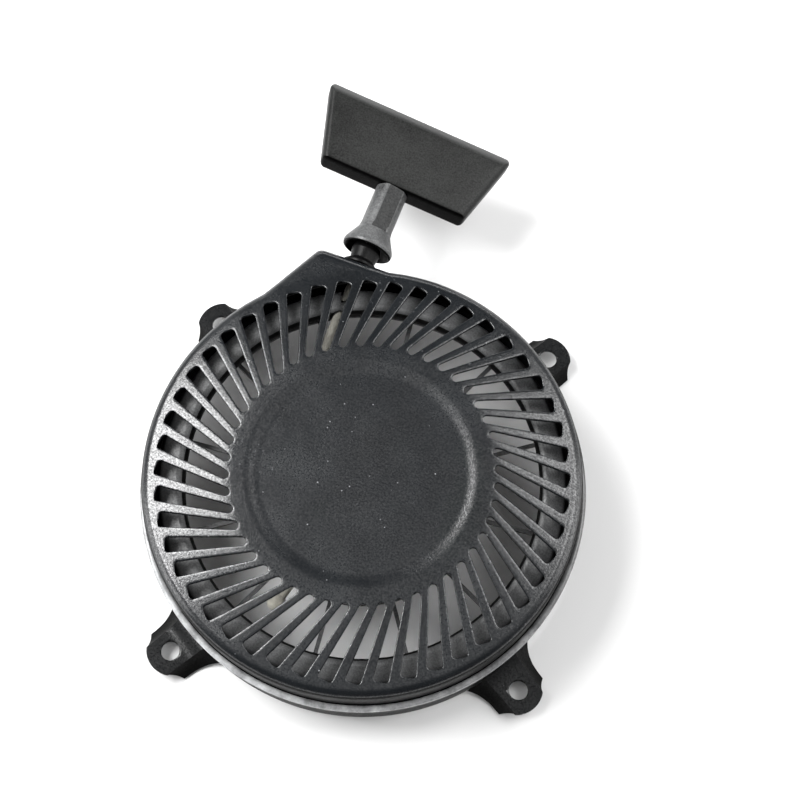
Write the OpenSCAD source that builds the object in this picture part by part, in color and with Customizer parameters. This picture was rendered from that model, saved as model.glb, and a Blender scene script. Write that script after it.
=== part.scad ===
// Recoil starter for a small engine.
// +Z points up along the pulley axis, away from the engine.
// The origin is the centre of the ears' bolt circle, on the underside of the ear pads.
// +Y is the direction in which the rope is pulled.

/* [Mounting] */
// Diameter of the bolt circle through the four ears
ear_pcd = 228; // [224:1:234]
// Diameter of the hole in each ear
ear_hole_d = 8.7; // [6.5:0.1:9.5]
// Direction of the first ear, degrees from +X
first_ear_angle = 60; // [56:1:64]

/* [Base ring] */
// Outer radius of the lower wall
base_r = 101; // [100.5:0.5:103]
// Radius of the opening in the inward flange
air_opening_r = 80; // [76:1:84]
// Height of the top of the rolled lip
lip_z = 30.7; // [29:0.1:31]
// Thickness of the pressed steel
base_t = 1.6; // [1.2:0.1:2]

/* [Slotted cover] */
// Outer radius of the cover's side wall
cover_r = 98.6; // [98:0.1:98.8]
// Height of the cover where the slots end on the inside
crown_z = 56.2; // [55:0.2:58]
// Slope of the slotted cone, degrees
cone_slope = 7; // [5:0.5:8]
// Thickness of the cover's steel
cover_t = 1.4; // [1:0.1:1.8]
// Radius of the shallow dish in the middle
dish_r = 48.5; // [46:0.5:50]
// Depth of the dish
dish_depth = 1; // [0.6:0.1:1.6]

/* [Slots] */
// Number of cooling slots
slot_count = 48; // [36:1:50]
// Radius at the slots' outer ends
slot_outer_r = 92; // [88:0.5:92]
// Radius at the slots' inner ends
slot_inner_r = 59; // [56:0.5:64]
// Slot width at the outer end
slot_outer_w = 6.8; // [5:0.1:7]
// Slot width at the inner end
slot_inner_w = 3.6; // [2.5:0.1:4]
// How far a slot's outer end lags clockwise behind its inner end, degrees
slot_swirl = 11.6; // [0:0.2:14]
// Direction of the first slot's inner end, degrees from +X
slot_phase = 0.8; // [0:0.1:7.5]

/* [Rope] */
// Diameter of the starter rope
rope_d = 4.5; // [4:0.1:4.6]
// Height of the rope above the ear pads
rope_z = 39.6; // [39.4:0.1:39.8]
// Radius of the rope's outermost turn; the rope leaves the pulley straight, at this distance from the axis
wound_r = 40; // [38:0.5:41]
// Turns of rope wound on the pulley
rope_turns = 4; // [2:1:4]

/* [Handle] */
// Length of the grip along its far edge
grip_far_l = 96; // [85:1:98]
// Length of the grip along its near edge
grip_near_l = 74; // [66:1:80]
// Depth of the grip in the pull direction
grip_depth = 38.5; // [34:0.5:40]
// Thickness of the grip
grip_t = 15; // [13:0.5:17]
// Roll of the grip about the rope at rest, degrees
grip_roll = 10; // [0:1:20]
// Radius of the flared end of the neck
flare_r = 12.2; // [11:0.2:13]
// Radius of the neck's stem
stem_r = 7.75; // [7:0.25:8]

/* [Pawls] */
// Radius of the circle that the pawl pins stand on
pawl_pin_orbit = 26; // [26:0.5:26.5]
// Length of a pawl from its pin to its tip
pawl_l = 22; // [20:0.5:22]
// Swing of a pawl from folded to engaged, degrees
pawl_swing = 28; // [24:1:28]
// Lag of the friction plate that swings the pawls out, degrees
plate_lag = 20; // [18:1:22]

/* [Hidden] */
$fn = 96;
eps = 0.02;
gap = 0.3;

black_paint = [0.09, 0.1, 0.11];
grip_grey = [0.25, 0.25, 0.26];
neck_grey = [0.42, 0.42, 0.43];
rope_cream = [0.78, 0.74, 0.6];
zinc = [0.75, 0.75, 0.73];
bronze = [0.7, 0.5, 0.25];
nylon = [0.16, 0.16, 0.17];

// Cover heights
edge_round = 5;
cone_start_r = cover_r - edge_round;
cone_end_z = crown_z - (cone_start_r - slot_inner_r) * tan(cone_slope);
shoulder_z = cone_end_z - edge_round;
cover_foot_z = lip_z - 0.5;
dish_z = crown_z - dish_depth;
dish_wall = 2.5;

// Rope outlet on the cover: a corner between two straight walls
outlet_angle = 154;
outlet_corner_r = 9;
// The walls stand inside the side wall's tangents, so they cross it cleanly
outlet_r = cover_r - 3;
outlet_centre_r = (outlet_r - outlet_corner_r) / cos((outlet_angle - 90) / 2);
outlet_centre = outlet_centre_r * [cos((outlet_angle + 90) / 2), sin((outlet_angle + 90) / 2)];
eyelet_hole_r = 7;

// Pulley heights and radii
rope_r = rope_d / 2;
groove_w = rope_d + 0.7;
flange_t = 2.2;
pulley_r = 50;
groove_r = wound_r - rope_turns * rope_d + rope_r;
pulley_top_z = rope_z + groove_w / 2 + flange_t;
pulley_low_z = rope_z - groove_w / 2 - flange_t;
hub_r = 13.5;
hub_low_z = 28.6;
hub_top_z = 50.2;
bush_r = 9;
post_r = 7;
post_run = 0.05;
spring_low_z = 45.4;
spring_h = 6;
spring_inner_r = 15;
spring_pitch = 2.6;
spring_turns = 10;
spring_t = 0.6;
case_r = 47.5;
case_t = 1;
case_top_z = dish_z - cover_t;

// Knot and tail at the rope's inner end
knot_orbit = groove_r - 8;
tail_r = 66;
tail_angle = 256;

// Friction plate and pawls
neck_r = 5.2;
plate_top_z = 26.2;
plate_t = 1.6;
plate_r = 37;
pawl_low_z = 27;
pawl_top_z = 33.4;
pin_r = 2.5;
pin_depth = 2;
peg_r = 1.6;
peg_orbit = 12;
washer_top_z = 22.4;
washer_t = 1.6;
head_h = 5;
head_r = 6.4;
post_low_z = washer_top_z;

// Rope line: straight along +Y from the wound turns through the eyelet to the grip
rope_x = -wound_r;
outlet_y = outlet_r;
neck_y = outlet_y + 9;
flare_l = 10;
neck_bore_r = 2.6;
neck_in_grip = 4;
socket_r = 6.6;
grip_near_y = neck_y + 33;
grip_far_y = grip_near_y + grip_depth;
knot_r = 5;
washer_y = grip_near_y + neck_in_grip;
knot_y = washer_y + 1 + gap + knot_r;

// Points of an arc, from one angle to the other
function arc(c, r, from, to, n = 8) =
    [for (i = [0:n]) c + r * [cos(from + (to - from) * i / n), sin(from + (to - from) * i / n)]];

// A ring of rectangular section about Z
module ring(r_in, r_out, z, h) {
    difference() {
        translate([0, 0, z]) cylinder(r = r_out, h = h);
        translate([0, 0, z - eps]) cylinder(r = r_in, h = h + 2 * eps);
    }
}

// Places children on the rope's line past the eyelet, with +Z turned to +Y
module on_rope_line(y) {
    translate([rope_x, y, rope_z]) rotate([-90, 0, 0]) children();
}

// ---- Slotted cover ----

// Half section of the cover's outside, down to its foot; inset moves it inwards
module cover_section(inset) {
    r = cover_r - inset;
    top = cone_end_z - inset;
    polygon(concat(
        [[0, cover_foot_z - (inset > 0 ? 1 : 0)], [r, cover_foot_z - (inset > 0 ? 1 : 0)]],
        arc([r - edge_round, top - edge_round], edge_round, 0, 90, 6),
        [
            [slot_inner_r - 3, crown_z - inset],
            [dish_r + dish_wall, crown_z - inset],
            [dish_r, dish_z - inset],
            [0, dish_z - inset]
        ]
    ));
}

// Plan of the rope outlet, moved inwards by inset
module outlet_plan(inset) {
    r = outlet_r - inset;
    polygon(concat(
        [[0, r], [0, 0], r * [cos(outlet_angle), sin(outlet_angle)]],
        arc(outlet_centre, outlet_corner_r - inset, outlet_angle, 90, 6)
    ));
}

// The outlet's block; its flat top lies a little below the slotted cone's edge
module outlet_block(inset) {
    low = cover_foot_z - (inset > 0 ? 1 : 0);
    top = cone_end_z - 1 - inset;
    translate([0, 0, low]) linear_extrude(top - low) outlet_plan(inset);
}

// Outline of one slot, lying along +X before it is swirled
module slot_plan() {
    lead = slot_swirl;
    inner = slot_inner_r * [1, 0];
    outer = slot_outer_r * [cos(lead), -sin(lead)];
    along = (outer - inner) / norm(outer - inner);
    across = [-along.y, along.x];
    l = norm(outer - inner);
    n = slot_inner_w / 2;
    w = slot_outer_w / 2;
    corner = 1.5;
    outline = concat(
        [for (a = [90:30:270]) [n + n * cos(a), n * sin(a)]],
        [[l - corner, -w], [l - corner * 0.3, -w + corner * 0.3], [l, -w + corner]],
        [[l, w - corner], [l - corner * 0.3, w - corner * 0.3], [l - corner, w]]
    );
    polygon([for (p = outline) inner + p.x * along + p.y * across]);
}

module slotted_cover() {
    color(black_paint)
    difference() {
        union() {
            rotate_extrude() cover_section(0);
            outlet_block(0);
        }
        rotate_extrude() cover_section(cover_t);
        outlet_block(cover_t);
        translate([0, 0, shoulder_z - 2]) linear_extrude(crown_z - shoulder_z + 4)
            for (i = [0:slot_count - 1])
                rotate(slot_phase + i * 360 / slot_count) slot_plan();
        on_rope_line(outlet_y - 6) cylinder(r = eyelet_hole_r, h = 12);
    }
}

// ---- Base ring with its four ears ----

ear_r = ear_pcd / 2;
pad_half_w = 8.5;
pad_t = 1.8;
pad_end_r = 11;
skirt_drop = 6;
skirt_tilt = 52;
flange_z = 43.4;
bead_r = 1.3;
// Outer edge of the flange's gentle slope, where it drops to the groove
flange_edge = [91.5, 41.8];

// Half section of the ring: wall, rolled lip, groove and the inward flange
module base_section() {
    groove_in = cover_r - 3.4;
    wall_in = base_r - base_t;
    polygon(concat(
        [[base_r, 0], [base_r, 4], [base_r - 0.6, lip_z - 6]],
        arc([base_r - bead_r + 1, lip_z - bead_r], bead_r, -40, 130, 8),
        [[cover_r + 0.4, cover_foot_z], [groove_in, cover_foot_z]],
        [flange_edge],
        arc([air_opening_r + 2, flange_z - 2], 2, 80, 180, 6),
        [[air_opening_r, flange_z - 5.4], [air_opening_r + 1.4, flange_z - 5.4]],
        [[air_opening_r + 2, flange_z - 1.8], flange_edge - [1.2, 1.7]],
        [[groove_in - 1.6, cover_foot_z - 1.4]],
        [[wall_in - 2.4, cover_foot_z - 2.2], [wall_in - 0.4, lip_z - 6], [wall_in, 0]]
    ));
}

// One ear: flat pad, round end and two skirts folded down beside it
module ear() {
    root_r = base_r - 1;
    skirt_l = ear_r + 4 - root_r;
    skirt_w = skirt_drop / sin(skirt_tilt) + 1.2;
    difference() {
        union() {
            translate([root_r, -pad_half_w, 0]) cube([ear_r - root_r, 2 * pad_half_w, pad_t]);
            translate([ear_r, 0, 0]) cylinder(r = pad_end_r, h = pad_t);
            for (side = [-1, 1])
                translate([root_r, side * (pad_half_w - 0.4), pad_t])
                    rotate([side > 0 ? -skirt_tilt : skirt_tilt, 0, 0])
                    translate([0, side > 0 ? 0 : -skirt_w, -base_t]) cube([skirt_l, skirt_w, base_t]);
        }
        translate([ear_r, 0, -1]) cylinder(d = ear_hole_d, h = pad_t + 2);
    }
}

module base_ring() {
    // Way for the rope through the inward flange
    notch_size = [18, 40, 12];
    notch_corner = [rope_x - notch_size.x / 2, 60, rope_z - 5.5];
    color(black_paint)
    union() {
        difference() {
            rotate_extrude() base_section();
            translate(notch_corner) cube(notch_size);
        }
        for (i = [0:3]) rotate(first_ear_angle + 90 * i) ear();
        // Shelf that closes the rope outlet from below
        difference() {
            translate([0, 0, cover_foot_z - base_t]) linear_extrude(base_t) outlet_plan(0);
            cylinder(r = base_r - 1, h = cover_foot_z + 1);
        }
    }
}

// Thin spokes across the air opening, from the flange in to a ring under the pulley
module guard_spider() {
    spoke_count = 12;
    spoke_w = 1.8;
    spoke_phase = 6;
    inner_r = 52;
    inner_w = 2.5;
    outer_r = air_opening_r + 4;
    outer_w = 3.5;
    tab_w = 12;
    low_z = 25;
    t = 1.6;
    color(black_paint)
    union() {
        ring(inner_r, inner_r + inner_w, low_z, t);
        ring(outer_r, outer_r + outer_w, low_z, t);
        for (i = [0:spoke_count - 1])
            rotate(spoke_phase + i * 360 / spoke_count)
                translate([inner_r + inner_w / 2, -spoke_w / 2, low_z])
                cube([outer_r - inner_r, spoke_w, t]);
        // Four tabs reach out to the wall
        for (i = [0:3])
            rotate(first_ear_angle + 45 + 90 * i)
                translate([outer_r + outer_w / 2, -tab_w / 2, low_z])
                cube([base_r - base_t - 2.2 - outer_r - outer_w / 2, tab_w, t]);
    }
}

// ---- Spring, its case and the post ----

module spring_case() {
    color(zinc)
    difference() {
        translate([0, 0, spring_low_z - 0.4]) cylinder(r = case_r, h = case_top_z - spring_low_z + 0.4);
        translate([0, 0, spring_low_z - 1]) cylinder(r = case_r - case_t, h = case_top_z - case_t - spring_low_z + 1);
        translate([0, 0, spring_low_z]) cylinder(r = post_r, h = 20);
    }
}

// Flat spiral spring made of half turns, each a little wider than the last
module recoil_spring() {
    step = spring_pitch / 2;
    outer_r = spring_inner_r + 2 * spring_turns * step;
    hub_gap = 0.5;
    color([0.35, 0.37, 0.42])
    translate([0, 0, spring_low_z])
    union() {
        for (i = [0:2 * spring_turns - 1])
            translate([(i % 2) * step, 0, 0])
                rotate_extrude(angle = 180, start = (i % 2) * 180)
                    translate([spring_inner_r + i * step, 0]) square([spring_t, spring_h]);
        // Outer end, welded to the case, and the inner end that drives the hub
        translate([outer_r, -spring_t, 0]) cube([case_r - case_t - outer_r, spring_t, spring_h]);
        translate([hub_r + hub_gap, 0, 0]) cube([spring_inner_r - hub_r, spring_t, spring_h]);
    }
}

// Stepped post under the dish: the pulley turns on it, the plate on its lower neck
module centre_post() {
    thread_r = 3;
    color(zinc)
    difference() {
        union() {
            translate([0, 0, hub_top_z + gap]) cylinder(r = 10.5, h = case_top_z - case_t - hub_top_z - gap);
            translate([0, 0, hub_low_z - 0.5]) cylinder(r = post_r, h = case_top_z - hub_low_z + 0.5);
            translate([0, 0, post_low_z]) cylinder(r = neck_r, h = hub_low_z - post_low_z);
        }
        translate([0, 0, post_low_z - 1]) cylinder(r = thread_r, h = 16);
    }
}

// Small coil spring that presses the friction plate; its turns are closed rings
module brake_spring() {
    wire_r = 0.55;
    coil_r = neck_r + 1.4;
    spring_room = plate_top_z - plate_t - washer_top_z - 0.2;
    color(zinc)
    union() {
        ring(coil_r - wire_r, coil_r + wire_r, washer_top_z, spring_room);
        for (z = [washer_top_z + wire_r, washer_top_z + spring_room - wire_r])
            translate([0, 0, z]) rotate_extrude() translate([coil_r + 0.6, 0]) circle(r = wire_r, $fn = 24);
    }
}

module screw_washer() {
    color(zinc) ring(3.2, 9.5, washer_top_z - washer_t, washer_t);
}

module centre_screw() {
    across_corners_r = 10 / 2 / cos(30);
    low = washer_top_z - washer_t - head_h;
    color(zinc)
    union() {
        translate([0, 0, low]) cylinder(r = across_corners_r, h = head_h, $fn = 6);
        translate([0, 0, low + head_h - 1.2]) cylinder(r = head_r + 1, h = 1.2);
        translate([0, 0, low + head_h - eps]) cylinder(r = 2.95, h = 14);
    }
}

// ---- Rope outlet ----

// Flanged guide in the cover's wall with a tapering nose
module rope_eyelet() {
    bore_r = 3.1;
    body_r = eyelet_hole_r - 0.1;
    flange_r = 8.6;
    nose_r = 6.8;
    // Height of the wall's outer face above the eyelet's inner end
    face = cover_t + 3;
    color([0.07, 0.07, 0.08])
    on_rope_line(outlet_y - face)
    rotate_extrude()
        polygon([
            [bore_r + 2.4, 0], [body_r, 0], [body_r, face],
            [flange_r, face], [flange_r, face + 1.2], [flange_r - 0.6, face + 2],
            [nose_r - 0.8, face + 3.6], [nose_r, face + 7.8], [nose_r - 0.8, face + 8.8],
            [bore_r + 1.4, face + 8.5], [bore_r, face + 6], [bore_r, 4], [bore_r + 0.7, 1.6]
        ]);
}

module eyelet_retainer() {
    color(zinc)
    on_rope_line(outlet_y - cover_t - 1.2)
    difference() {
        cylinder(r = 8.6, h = 1.2);
        translate([0, 0, -1]) cylinder(r = eyelet_hole_r - 0.1, h = 4);
    }
}

// ---- Pulley ----

// Section of the pulley: hub, web with rope groove, and the two flanges
module pulley_section() {
    polygon([
        [bush_r, hub_low_z], [hub_r, hub_low_z], [hub_r, pulley_low_z],
        [pulley_r - 1, pulley_low_z], [pulley_r, pulley_low_z + 0.8],
        [pulley_r, rope_z - groove_w / 2 - 0.2], [pulley_r - 1.5, rope_z - groove_w / 2],
        [groove_r, rope_z - groove_w / 2], [groove_r, rope_z + groove_w / 2],
        [pulley_r - 1.5, rope_z + groove_w / 2], [pulley_r, rope_z + groove_w / 2 + 0.2],
        [pulley_r, pulley_top_z - 0.8], [pulley_r - 1, pulley_top_z],
        [hub_r, pulley_top_z], [hub_r, hub_top_z], [bush_r, hub_top_z]
    ]);
}

module rope_pulley() {
    pocket_r = 5;
    pocket_h = 9;
    lightening_r = 5.5;
    lightening_depth = 1;
    color(nylon)
    difference() {
        rotate_extrude() pulley_section();
        // Pocket for the knot at the rope's inner end
        rotate(tail_angle) translate([knot_orbit, 0, pulley_low_z - 1]) cylinder(r = pocket_r, h = pocket_h);
        // Shallow pockets in the upper flange
        for (a = [30:60:330])
            rotate(tail_angle + a)
                translate([(hub_r + pulley_r) / 2, 0, pulley_top_z - lightening_depth])
                cylinder(r = lightening_r, h = lightening_depth + 1);
        for (a = [0, 180])
            rotate(a) translate([pawl_pin_orbit, 0, pulley_low_z - 1]) cylinder(r = pin_r, h = pin_depth + 1);
    }
}

module pulley_bush() {
    color(bronze) ring(post_r + post_run, bush_r, hub_low_z, hub_top_z - hub_low_z);
}

// Turns of rope lying on each other in the groove
module wound_rope() {
    color(rope_cream)
    rotate_extrude()
    union() {
        for (i = [0:rope_turns - 1])
            translate([wound_r - i * rope_d, rope_z]) circle(r = rope_r, $fn = 24);
        translate([groove_r, rope_z - rope_r * 0.6])
            square([(rope_turns - 1) * rope_d + rope_r, rope_r * 1.2]);
    }
}

// Knot in the pulley's pocket, and the rope's tail that sticks out past the rim
module pulley_knot() {
    tail_z = pulley_low_z - rope_r - 0.6;
    color(rope_cream)
    rotate(tail_angle)
    union() {
        translate([knot_orbit, 0, pulley_low_z + 3.6]) sphere(r = 3.8, $fn = 32);
        translate([knot_orbit, 0, tail_z]) cylinder(r = rope_r - 0.05, h = 6);
        translate([knot_orbit - 1, 0, tail_z]) rotate([0, 90, 0]) cylinder(r = rope_r, h = tail_r - knot_orbit);
        translate([tail_r, 0, tail_z]) sphere(r = 4.2, $fn = 32);
    }
}

module pawl_pins() {
    color(zinc)
    for (a = [0, 180])
        rotate(a) translate([pawl_pin_orbit, 0, 0])
            union() {
                translate([0, 0, pawl_low_z - 0.2])
                    cylinder(r = pin_r, h = pulley_low_z + pin_depth - pawl_low_z + 0.2);
                translate([0, 0, pawl_top_z + 0.3]) cylinder(r = pin_r + 1.2, h = pulley_low_z - pawl_top_z - 0.3);
            }
}

// ---- Friction plate and pawls ----

// Place of a pawl's peg seen from the plate, at a share s of the full swing
function peg_place(s) =
    let (swing = pawl_swing * s, lag = plate_lag * s,
         x = pawl_pin_orbit + peg_orbit * sin(swing), y = -peg_orbit * cos(swing))
    [x * cos(lag) + y * sin(lag), y * cos(lag) - x * sin(lag)];

module friction_plate() {
    steps = 8;
    color(zinc)
    difference() {
        translate([0, 0, plate_top_z - plate_t]) cylinder(r = plate_r, h = plate_t);
        translate([0, 0, plate_top_z - plate_t - 1]) cylinder(r = neck_r + 0.08, h = plate_t + 2);
        // Cam slots that push the pawls' pegs outwards as the plate lags
        for (a = [0, 180])
            rotate(a)
                for (i = [0:steps])
                    translate([peg_place(i / steps).x, peg_place(i / steps).y, plate_top_z - plate_t - 1])
                        cylinder(r = peg_r + 0.35, h = plate_t + 2);
        for (a = [60, 240])
            rotate(a) translate([22, 0, plate_top_z - plate_t - 1]) cylinder(r = 7, h = plate_t + 2);
    }
}

module pawl() {
    body_h = pawl_top_z - pawl_low_z;
    boss_r = 5;
    difference() {
        union() {
            translate([pawl_pin_orbit, 0, pawl_low_z]) cylinder(r = boss_r, h = body_h);
            translate([pawl_pin_orbit, 0, pawl_low_z])
                linear_extrude(body_h)
                polygon([
                    [-3, 0], [boss_r, 0], [4.2, -8], [3, -pawl_l + 3], [0.8, -pawl_l],
                    [-0.8, -pawl_l], [-3, -pawl_l + 5], [-3.6, -8]
                ]);
            translate([pawl_pin_orbit, -peg_orbit, plate_top_z - plate_t])
                cylinder(r = peg_r, h = pawl_low_z - plate_top_z + plate_t + 1);
        }
        translate([pawl_pin_orbit, 0, pawl_low_z - 1]) cylinder(r = pin_r + 0.08, h = body_h + 2);
    }
}

module pawl_1() {
    color([0.62, 0.6, 0.56]) pawl();
}

module pawl_2() {
    color([0.62, 0.6, 0.56]) rotate(180) pawl();
}

// ---- Rope run and handle ----

// The rope from clear of the wound turns to the knot in the grip
module rope_run() {
    clear_of_turns = 25;
    end_y = knot_y - knot_r + 0.4;
    color(rope_cream) on_rope_line(clear_of_turns) cylinder(r = rope_r, h = end_y - clear_of_turns);
}

module grip_knot() {
    color(rope_cream) on_rope_line(knot_y) sphere(r = knot_r, $fn = 32);
}

module knot_washer() {
    color(zinc)
    on_rope_line(washer_y)
    difference() {
        cylinder(r = socket_r - 0.3, h = 1);
        translate([0, 0, -1]) cylinder(r = rope_r + 0.3, h = 3);
    }
}

// Neck: flared foot that meets the eyelet, then a stem that enters the grip
module grip_neck() {
    l = grip_near_y - neck_y;
    hollow_r = 8;
    color(neck_grey)
    on_rope_line(neck_y)
    rotate_extrude()
        polygon(concat(
            [[flare_r - 1, 0], [flare_r - 0.4, 0.2], [flare_r, 1.6], [flare_r - 0.2, 3.2]],
            [[stem_r + 0.9, flare_l - 0.6], [stem_r + 0.4, flare_l + 0.4]],
            [[stem_r, flare_l + 1.4], [stem_r, l + neck_in_grip]],
            [[neck_bore_r, l + neck_in_grip], [neck_bore_r, flare_l], [hollow_r, 4]]
        ));
}

// Trapezium outline of the grip in the plane of the rope; inset moves it inwards
module grip_plan(inset) {
    far = grip_far_l / 2 - inset * 1.28;
    near = grip_near_l / 2 - inset * 0.8;
    low = inset;
    high = grip_depth - inset;
    polygon([[-near, low], [near, low], [far, high], [-far, high]]);
}

// Grip body with bevelled edges; the rope's knot sits in its middle
module pull_grip() {
    bevel = 2.5;
    color(grip_grey)
    translate([rope_x, grip_near_y, rope_z]) rotate([0, grip_roll, 0])
    difference() {
        hull() {
            translate([0, 0, -grip_t / 2 + bevel]) linear_extrude(grip_t - 2 * bevel) grip_plan(0);
            translate([0, 0, -grip_t / 2]) linear_extrude(grip_t) grip_plan(bevel);
        }
        rotate([-90, 0, 0]) translate([0, 0, -1]) cylinder(r = stem_r, h = neck_in_grip + 1);
        rotate([-90, 0, 0]) translate([0, 0, neck_in_grip - 1]) cylinder(r = socket_r, h = grip_depth);
    }
}

// Plug that closes the knot's socket on the far edge of the grip
module grip_cap() {
    color(grip_grey)
    on_rope_line(grip_far_y - 3)
    union() {
        cylinder(r = socket_r, h = 2.6);
        translate([0, 0, -4]) cylinder(r = socket_r - 1.4, h = 5);
    }
}

slotted_cover();
base_ring();
guard_spider();
spring_case();
recoil_spring();
centre_post();
brake_spring();
screw_washer();
centre_screw();
rope_eyelet();
eyelet_retainer();
rope_pulley();
pulley_bush();
wound_rope();
pulley_knot();
pawl_pins();
friction_plate();
pawl_1();
pawl_2();
rope_run();
grip_knot();
knot_washer();
grip_neck();
pull_grip();
grip_cap();
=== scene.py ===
# Looks of the recoil starter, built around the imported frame. Lengths in mm until they reach a mesh.
import math

import bmesh
import bpy
from mathutils import Matrix, Vector


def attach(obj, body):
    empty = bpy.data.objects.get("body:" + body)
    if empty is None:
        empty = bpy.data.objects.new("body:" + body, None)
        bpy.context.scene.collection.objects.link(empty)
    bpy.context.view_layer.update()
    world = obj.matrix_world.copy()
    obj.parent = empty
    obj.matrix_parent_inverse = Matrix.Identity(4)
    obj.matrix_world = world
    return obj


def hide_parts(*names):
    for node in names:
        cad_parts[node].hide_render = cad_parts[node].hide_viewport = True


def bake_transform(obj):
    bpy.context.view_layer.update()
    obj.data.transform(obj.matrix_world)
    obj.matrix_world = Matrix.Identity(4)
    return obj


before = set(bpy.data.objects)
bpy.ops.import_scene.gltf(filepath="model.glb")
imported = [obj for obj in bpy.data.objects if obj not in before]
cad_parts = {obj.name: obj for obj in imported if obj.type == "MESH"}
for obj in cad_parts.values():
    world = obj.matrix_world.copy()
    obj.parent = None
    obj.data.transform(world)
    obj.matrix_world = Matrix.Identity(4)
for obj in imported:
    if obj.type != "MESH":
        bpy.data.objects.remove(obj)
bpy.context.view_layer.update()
MM = 0.001
TAU = 2 * math.pi


# ---------------------------------------------------------------- mesh helpers

def add_mesh(name, verts, faces, material, sharp_deg=32, merge=0.002):
    """A smooth-shaded object from points in mm, with edges sharper than sharp_deg kept crisp."""
    bm = bmesh.new()
    points = [bm.verts.new(Vector(v) * MM) for v in verts]
    for f in faces:
        corners = []
        for i in f:
            if not corners or points[i] is not corners[-1]:
                corners.append(points[i])
        if len(set(corners)) > 2:
            try:
                bm.faces.new(corners)
            except ValueError:
                pass
    bmesh.ops.remove_doubles(bm, verts=bm.verts, dist=merge * MM)
    bmesh.ops.dissolve_degenerate(bm, edges=bm.edges, dist=merge * MM / 4)
    bmesh.ops.recalc_face_normals(bm, faces=bm.faces)
    limit = math.radians(sharp_deg)
    for f in bm.faces:
        f.smooth = True
    for e in bm.edges:
        if len(e.link_faces) == 2 and e.calc_face_angle(0) > limit:
            e.smooth = False
    mesh = bpy.data.meshes.new(name)
    bm.to_mesh(mesh)
    bm.free()
    mesh.materials.append(material)
    obj = bpy.data.objects.new(name, mesh)
    bpy.context.collection.objects.link(obj)
    return obj


def grid_faces(rows, cols, closed_cols=True, closed_rows=False, first=0):
    """Quads of a grid whose vertex (row, col) has the index first + row * cols + col."""
    faces = []
    for r in range(rows if closed_rows else rows - 1):
        for c in range(cols if closed_cols else cols - 1):
            r2, c2 = (r + 1) % rows, (c + 1) % cols
            faces.append((first + r * cols + c, first + r * cols + c2,
                          first + r2 * cols + c2, first + r2 * cols + c))
    return faces


def end_caps(rows, cols):
    """The faces that close a grid's first and last row."""
    return [tuple(range(cols)), tuple(range((rows - 1) * cols, rows * cols))]


def revolve(profile, steps, closed=True):
    """Vertices and faces of a profile of (radius, height) points turned about Z."""
    verts = [(r * math.cos(TAU * k / steps), r * math.sin(TAU * k / steps), z)
             for r, z in profile for k in range(steps)]
    return verts, grid_faces(len(profile), steps, closed_rows=closed)


def polar(r, degrees):
    """Plan coordinates of the point at radius r and this angle."""
    return r * math.cos(math.radians(degrees)), r * math.sin(math.radians(degrees))


def arc(cx, cy, r, start, end, steps):
    """Points of an arc, angles in degrees."""
    points = [polar(r, start + (end - start) * i / steps) for i in range(steps + 1)]
    return [(cx + x, cy + y) for x, y in points]


def rounded(points, radius, steps=4):
    """A closed outline of (x, y, optional radius) corners with each corner rounded."""
    out = []
    n = len(points)
    for i, p in enumerate(points):
        r = p[2] if len(p) > 2 else radius
        here = Vector(p[:2])
        before = Vector(points[i - 1][:2]) - here
        after = Vector(points[(i + 1) % n][:2]) - here
        if r <= 0:
            out.append(tuple(here))
            continue
        half = before.angle(after) / 2
        reach = min(r / math.tan(half), before.length * 0.49, after.length * 0.49)
        a = here + before.normalized() * reach
        b = here + after.normalized() * reach
        for s in range(steps + 1):
            t = s / steps
            out.append(tuple(a * (1 - t) ** 2 + here * 2 * t * (1 - t) + b * t * t))
    return out


def turned(verts, matrix):
    """The points moved by a matrix."""
    return [tuple(matrix @ Vector(v)) for v in verts]


def joined(parts):
    """One list of vertices and one of faces from several."""
    verts, faces = [], []
    for v, f in parts:
        faces += [tuple(i + len(verts) for i in face) for face in f]
        verts += v
    return verts, faces


def smoothstep(x):
    """Rises smoothly from 0 to 1 while x does."""
    x = max(0.0, min(1.0, x))
    return x * x * (3 - 2 * x)


def where_reached(rising, target, low, high):
    """The place between low and high at which a rising function reaches target."""
    for _ in range(50):
        mid = (low + high) / 2
        if rising(mid) < target:
            low = mid
        else:
            high = mid
    return low


def angle_between(a, b):
    """The smaller angle between two directions in degrees."""
    return abs((a - b + 180) % 360 - 180)


# ---------------------------------------------------------------- materials

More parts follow.
